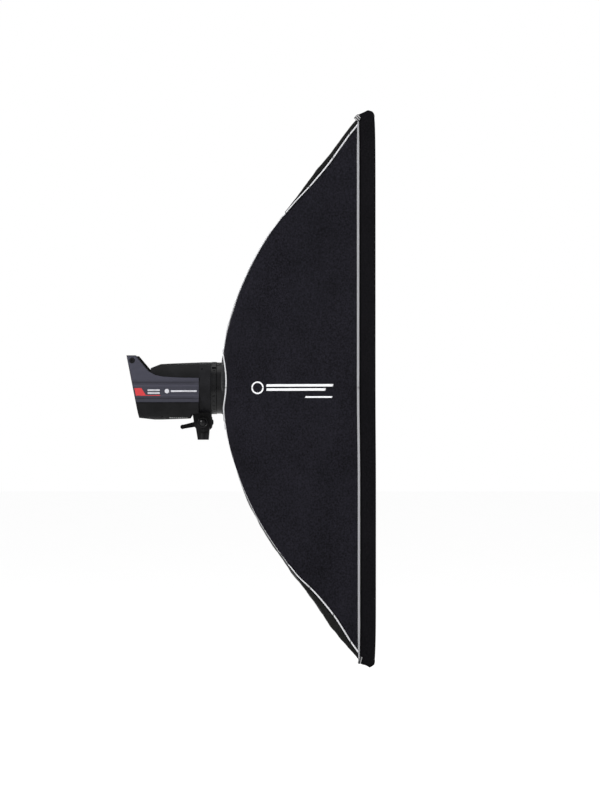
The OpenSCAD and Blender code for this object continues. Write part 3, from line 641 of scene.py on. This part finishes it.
hem_paths = {}
for q, (sy, sz) in QUARTERS.items():
    # along the sewn seam, from the hem to the front; near the hem it sits on the corner itself
    u = np.linspace(HEM_U + 1, TIP - 3.5, 150)
    at = seam_x(u)
    line = -seam_drop(u, sz)
    if sz > 0:
        tucked = smooth(172, 180, at) * smooth(202, 196, at)
        proud = 2.1 * smooth(182, 170, at) * smooth(52, 64, at)
    else:
        tucked = smooth(56, 64, at) * smooth(214, 206, at)
        proud = 0 * at
    line = line + 3.4 * tucked
    path, n = on_cloth(sy, sz, u, line, 0.9)
    path = path - n * tucked[:, None] + np.outer(proud, (-0.72, sy * 0.2, sz * 0.66))
    width = 1.5 + 0.4 * smooth(240, 300, at)
    across = np.cross(np.gradient(path, axis=0), n)
    height = width * (0.82 - 0.5 * tucked) + 0.25 * proud
    obj = mesh_piece("seam_piping_" + q, *sweep(path, across, height, width, 12), [PALE], None)
    softly(obj)
    # a near-black strip under the seam piping: painted shadow along both its edges
    shown = at > 206
    shadow_strips = [sweep((path - n * 0.75)[shown], across[shown], 0.3, 4.1, 10, squareness=5)]

    # grey band along the front edge of the side and the end
    runs = []
    for lo, hi, n_points in ((mid_side(TIP), -6.0, 120), (6.0, mid_end(TIP), 50)):
        qq = np.linspace(lo, hi, n_points)
        uu = np.full_like(qq, TIP - 2.4)
        path, n = on_cloth(sy, sz, uu, qq, 0.45)
        across = np.cross(np.gradient(path, axis=0), n)
        taper = 2.0 + 0.9 * smooth(6, 80, np.abs(qq))
        runs.append(sweep(path, across, 1.1, taper, 14, squareness=3.2))
        # and one under the front band: painted shadow along its edges
        shadow_strips.append(sweep(path - n * 0.4, across, 0.3, taper + 2.4, 10, squareness=5))
    obj = mesh_piece("front_piping_" + q, *joined(runs), [PIPING], None)
    softly(obj)
    obj = mesh_piece("piping_painted_shadow_" + q, *joined(shadow_strips), [PIPING_SHADOW], None)
    softly(obj)

    # stitches beside the front band
    parts = []
    for q0, q1 in ((mid_side(TIP) + 3, -10.0), (10.0, mid_end(TIP) - 3)):
        centres = np.arange(q0, q1, 4.6)
        for off in (-7.4, 0.0):
            ends = centres[:, None] + np.linspace(-1.4, 1.4, 4)
            p, n = on_cloth(sy, sz, np.full_like(ends, TIP + off), ends, 0.35)
            p = p + n * np.array([-0.3, 0.25, 0.25, -0.3])[:, None]
            parts += [sweep(a, np.cross(np.gradient(a, axis=0), b), 0.35, 0.42, 5) for a, b in zip(p, n)]
    obj = mesh_piece("front_stitches_" + q, *joined(parts), [THREAD], None)
    softly(obj)

    # pale piping round the hem
    qq = np.linspace(mid_side(HEM_U), mid_end(HEM_U), 90)
    path, n = on_cloth(sy, sz, np.full_like(qq, HEM_U + 0.8), qq, 0.2)
    obj = mesh_piece("hem_piping_" + q, *sweep(path, n, 1.9, 2.4, 12), [PALE], None)
    softly(obj)
    hem_paths[q] = path

    # webbing tab at the front corner: bound bars on a dark backing
    if sz > 0:
        (x, z), way, half = (376.2, 639.2), (0.7, -0.7), 6.4
        bars, reach, thick = (-4.6, 0, 4.6), (4.6, 6.8, 4.8), 1.15
    else:
        (x, z), way, half = (381.6, 646.5), (-0.22, 0.97), 4.0
        bars, reach, thick = (0,), (9.0,), 1.9
    way = np.array([way[0], 0, sz * way[1]])
    aside = np.array([-way[2], 0, way[0]])
    centre = np.array([x, sy * 251.6, AXIS_Z + sz * z])
    t = np.linspace(-1, 1, 9)[:, None]
    lift = np.array([0, sy * 1.0, 0])
    flat = np.repeat([aside], 9, 0)
    parts = [sweep(centre + way * t * max(reach) * 0.93, flat, 0.9, half, 14, squareness=4)]
    counts = [len(parts[0][1])]
    for off, r in zip(bars, reach):
        bow = centre + lift * (1.3 - t**2) + aside * off + way * t * r
        parts.append(sweep(bow, flat, 0.8, thick, 10))
        counts.append(len(parts[-1][1]))
    slots = [sz < 0] * counts[0] + [sz > 0] * sum(counts[1:])
    obj = mesh_piece("corner_tab_" + q, *joined(parts), [DARK_THREAD, TAB], None, slots)
    softly(obj)

    # dark tacking stitches across the seam piping
    parts = []
    for at in (375.0, 452.0, 530.0, 585.0):
        uu = np.full(9, at)
        off = np.linspace(-1, 1, 9)
        p, n = on_cloth(sy, sz, uu, -seam_drop(uu, sz) + 4.2 * off, 0.9)
        arch = np.sqrt(np.maximum(1 - off**2, 0)) * 2.6
        p = p + n * arch[:, None]
        parts.append(sweep(p, np.cross(np.gradient(p, axis=0), n), 0.4, 0.55, 6))
    obj = mesh_piece("seam_tacks_" + q, *joined(parts), [DARK_THREAD], None)
    softly(obj)

# Gathered collar that closes the hem on the speedring
order = ["upper_left", "upper_right", "lower_right", "lower_left"]
hem = np.concatenate([hem_paths[q][::(1 if k % 2 == 0 else -1)][:-1] for k, q in enumerate(order)])
radial = hem - (0, 0, AXIS_Z)
radial[:, 0] = 0
hem_r = np.linalg.norm(radial, axis=1)
unit = radial / hem_r[:, None]
angle = np.arctan2(radial[:, 2], radial[:, 1])
grid = []
for s in np.linspace(0, 1, 15):
    r = 64.4 + (hem_r - 1.2 - 64.4) * s
    above = 46.6 + 3.4 * np.clip((r - 64.4) / 19.6, 0, 1) ** 2
    above = above + (hem[:, 0] + 1.0 - 50.0) * smooth(84, hem_r - 1.2, r)
    below = 46.6 + (hem[:, 0] + 1.0 - 46.6) * smooth(64, 69, r)
    x = above + (below - above) * smooth(0.1, -0.5, unit[:, 2])
    x = x + 0.7 * np.sin(angle * 64) * math.sin(math.pi * s) ** 0.5
    grid.append(unit * r[:, None] + np.stack([x, np.zeros_like(x), np.full_like(x, AXIS_Z)], -1))
outer = np.array(grid)
rows, cols = outer.shape[:2]
points = np.concatenate([outer.reshape(-1, 3), (outer + (1.0, 0, 0)).reshape(-1, 3)])
last = (rows - 1) * cols
faces = [*grid_faces(rows, cols, 0, False, True), *grid_faces(rows, cols, rows * cols, True, True)]
for start in (0, last):
    for j in range(cols):
        k = (j + 1) % cols
        face = [start + j, start + j + rows * cols, start + k + rows * cols, start + k]
        faces.append(face if start else face[::-1])
mesh_piece("hem_collar", points, faces, [ELASTIC], "speedring")

# ---------------------------------------------------------------- printed marks
def side_at(sy, x, z, out):
    """Points on the side cloth at that X and height above the axis."""
    sz = np.where(z >= 0, 1, -1)
    lo, hi = np.zeros_like(x), np.full_like(x, TIP)
    result = None
    for _ in range(34):
        u = (lo + hi) / 2
        zc = ROOT[1] + EZ * u
        q = -(zc - np.abs(z)) + CORNER**2 / np.maximum(zc - np.abs(z), 1)
        up = cloth(sy, 1, u, q, out)
        down = cloth(sy, -1, u, q, out)
        result = np.where((sz > 0)[..., None], up, down)
        low = result[..., 0] < x
        lo, hi = np.where(low, u, lo), np.where(low, hi, u)
    return result


def print_bar(sy, x0, x1, z0, z1, cut=0.0):
    """A thin printed bar, with slanted ends."""
    a = np.linspace(0, 1, max(3, int((x1 - x0) / 4)))
    z = np.linspace(z0, z1, 5)
    zz, aa = np.meshgrid(z, a, indexing="ij")
    xx = x0 + (x1 - x0) * aa + cut * (zz - z0)
    top, base = side_at(sy, xx, zz, PRINT_TOP), side_at(sy, xx, zz, PRINT_BASE)
    return shell(top, base, flip=sy > 0)[:2]


def print_ring(sy, cx, r0, r1, up):
    a = np.linspace(0.01, math.pi - 0.01, 30) * (1 if up else -1)
    r = np.linspace(r0, r1, 4)
    rr, aa = np.meshgrid(r, a, indexing="ij")
    xx, zz = cx + rr * np.cos(aa), rr * np.sin(aa) + (0.3 if up else -0.3)
    top, base = side_at(sy, xx, zz, PRINT_TOP), side_at(sy, xx, zz, PRINT_BASE)
    return shell(top, base, flip=(sy > 0) != up)[:2]


for side in (-1, 1):
    for up in (True, False):
        q = ("upper_" if up else "lower_") + ("right" if side < 0 else "left")
        if up:
            parts = [print_ring(side, 137, 11.5, 15, True), print_bar(side, 158, 318, 2.5, 8.5, 0.25)]
        else:
            parts = [print_ring(side, 137, 11.5, 15, False), print_bar(side, 158, 300, -7.5, -1.5, 0.25),
                     print_bar(side, 252, 316, -24.5, -20.5, 0.25)]
        obj = mesh_piece("cloth_mark_" + q, *joined(parts), [PRINT], None)
        softly(obj)

# ---------------------------------------------------------------- details on the flash head
def plate(outline, y0, y1):
    """An [x, z] outline made into a thin plate from y0 to y1."""
    n = len(outline)
    points = [(x, y0, z) for x, z in outline] + [(x, y1, z) for x, z in outline]
    faces = [list(range(n)), list(range(2 * n - 1, n - 1, -1))]
    faces += [[i, i + n, (i + 1) % n + n, (i + 1) % n] for i in range(n)]
    return points, faces


def rounded(x0, x1, z0, z1, r):
    """[x, z] outline of a rounded rectangle."""
    out = []
    corners = (x1 - r, z1 - r, 0), (x0 + r, z1 - r, 90), (x0 + r, z0 + r, 180), (x1 - r, z0 + r, 270)
    for cx, cz, a0 in corners:
        for a in np.radians(np.linspace(a0, a0 + 90, 6)):
            out.append((cx + r * math.cos(a), cz + r * math.sin(a)))
    return out


def bevelled(obj, width):
    b = obj.modifiers.new("edge", "BEVEL")
    b.width, b.segments, b.limit_method = width, 2, "ANGLE"
    return obj


for side, tag in ((-1, "right"), (1, "left")):
    y0, y1 = side * 63.75, side * 64.25
    red = [(-162.6, 109), (-138.5, 109), (-103, 109), (-103, 110.7), (-138.5, 110.7), (-149, 127.6),
           (-166.3, 127.6)]
    bevelled(mesh_piece("badge_" + tag, *plate(red, y0, y1), [BADGE], "head", smooth_faces=False), 0.00015)
    prints = [plate(rounded(x0, x1, z0, z1, r), y0, y1) for x0, x1, z0, z1, r in (
        (-134, -104, 113.5, 117.5, 1.6), (-134, -104, 120.5, 124.5, 1.6), (-92, -81.5, 115, 125.5, 5),
        (-77, -13, 118.3, 122.3, 1.7))]
    mesh_piece("light_print_" + tag, *joined(prints), [LIGHT_PRINT], "head", smooth_faces=False)

ROUND = 48    # points round a turned part

# Domed cap of the tilt bolt, in a turned ring
lo, hi = (np.array(v) * 1000 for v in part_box("tilt_bolt"))
centre, face = (lo + hi) / 2, lo[1]
profile = [(12.6, 0.5), (12.6, -1.2), (12.0, -1.8), (10.8, -1.8), (10.2, -1.2), (10.0, -0.7), (9.3, -0.8),
           (8.7, -1.6), (7.4, -2.7), (5.6, -3.6), (3.6, -4.2), (1.6, -4.5)]
turn = np.linspace(0, 2 * math.pi, ROUND, endpoint=False)
rings = np.array([np.stack([centre[0] + r * np.cos(turn), np.full(ROUND, face + dy),
                            centre[2] + r * np.sin(turn)], -1) for r, dy in profile])
faces = [*grid_faces(len(profile), ROUND, 0, True, True), list(range(ROUND)),
         list(range(len(profile) * ROUND - 1, (len(profile) - 1) * ROUND - 1, -1))]
bolt_body = next(b for b, names in frame["record"]["behaviour"]["bodies"].items() if "tilt_bolt" in names)
mesh_piece("bolt_cap", rings.reshape(-1, 3), faces, [BLACK_PAINT], bolt_body)

# Ribbed rubber sleeve on the grip
y = np.linspace(-50, 50, 301)
ridge = 0.5 * np.clip(np.sin(y / 50 * math.pi * 14) * 2.5, -1, 1)
profile = 9.9 + ridge - 0.8 * smooth(46, 50, np.abs(y))
rings = np.stack([-172 + profile[:, None] * np.cos(turn), np.repeat(y[:, None], ROUND, 1),
                  195.5 + profile[:, None] * np.sin(turn)], -1)
faces = [*grid_faces(len(y), ROUND, 0, False, True), list(range(ROUND - 1, -1, -1)),
         list(range((len(y) - 1) * ROUND, len(y) * ROUND))]
mesh_piece("grip_sleeve", rings.reshape(-1, 3), faces, [RUBBER], "head")

# ---------------------------------------------------------------- stage, light and camera
def slab(name, size, z, colour):
    points = [(-size, -size, z), (size, -size, z), (size, size, z), (-size, size, z)]
    me = bpy.data.meshes.new(name)
    me.from_pydata(points, [], [(0, 1, 2, 3)])
    obj = bpy.data.objects.new(name, me)
    bpy.context.scene.collection.objects.link(obj)
    s = Shader(name + "_paint", rough=0.85, spec=0.2)
    lighter = tuple(min(c * 1.02, 1) for c in colour[:3]) + (1,)
    s.colour(s.ramp(s.noise(1.5, 2), [(0.3, colour), (0.7, lighter)]))
    seen = s.node("ShaderNodeLightPath").outputs["Is Camera Ray"]
    s.tree.links.new(s.maths("MULTIPLY", seen, 0.71), s.bsdf.inputs["Emission Strength"])
    s.bsdf.inputs["Emission Color"].default_value = (1, 1, 1, 1)
    me.materials.append(s.material)


slab("floor", 30, -1.3, (0.87, 0.87, 0.87, 1))


def area_light(name, place, target, size, power):
    light = bpy.data.lights.new(name, "AREA")
    light.shape, light.size, light.size_y, light.energy = "RECTANGLE", size[0], size[1], power
    obj = bpy.data.objects.new(name, light)
    bpy.context.scene.collection.objects.link(obj)
    obj.location = place
    way = np.array(target) - np.array(place)
    obj.rotation_euler = Vector(way).to_track_quat("-Z", "Y").to_euler()


area_light("key", (-3.6, -4.2, 2.6), (0.1, 0, 0.1), (1.8, 1.8), 300)
area_light("front", (5.0, -2.6, 1.6), (0.3, 0, 0.1), (2.4, 2.4), 120)
area_light("back", (-2.0, 5.0, 2.2), (0.2, 0, 0.1), (2.6, 2.2), 150)
area_light("top", (0.2, 0.3, 4.0), (0.1, 0, 0.1), (2.6, 2.6), 30)
area_light("head", (-1.0, -1.3, 0.9), (-0.1, 0, 0.12), (0.5, 0.5), 4)

world = bpy.data.worlds.new("studio")
bpy.context.scene.world = world
world.use_nodes = True
tree = world.node_tree
seen = tree.nodes.new("ShaderNodeLightPath").outputs["Is Camera Ray"]
level = tree.nodes.new("ShaderNodeMapRange")
level.inputs["To Min"].default_value = 0.3
level.inputs["To Max"].default_value = 1.0
tree.links.new(seen, level.inputs["Value"])
tree.links.new(level.outputs[0], tree.nodes["Background"].inputs["Strength"])
tree.nodes["Background"].inputs["Color"].default_value = (1, 1, 1, 1)
bpy.context.scene.view_settings.view_transform = "Standard"

camera = bpy.data.cameras.new("camera")
camera.lens, camera.sensor_width = 105.3, 36
view = bpy.data.objects.new("camera", camera)
bpy.context.scene.collection.objects.link(view)
view.location = (0.2397, -5.8, 0.0984)
view.rotation_euler = (math.pi / 2, 0, 0)
bpy.context.scene.camera = view
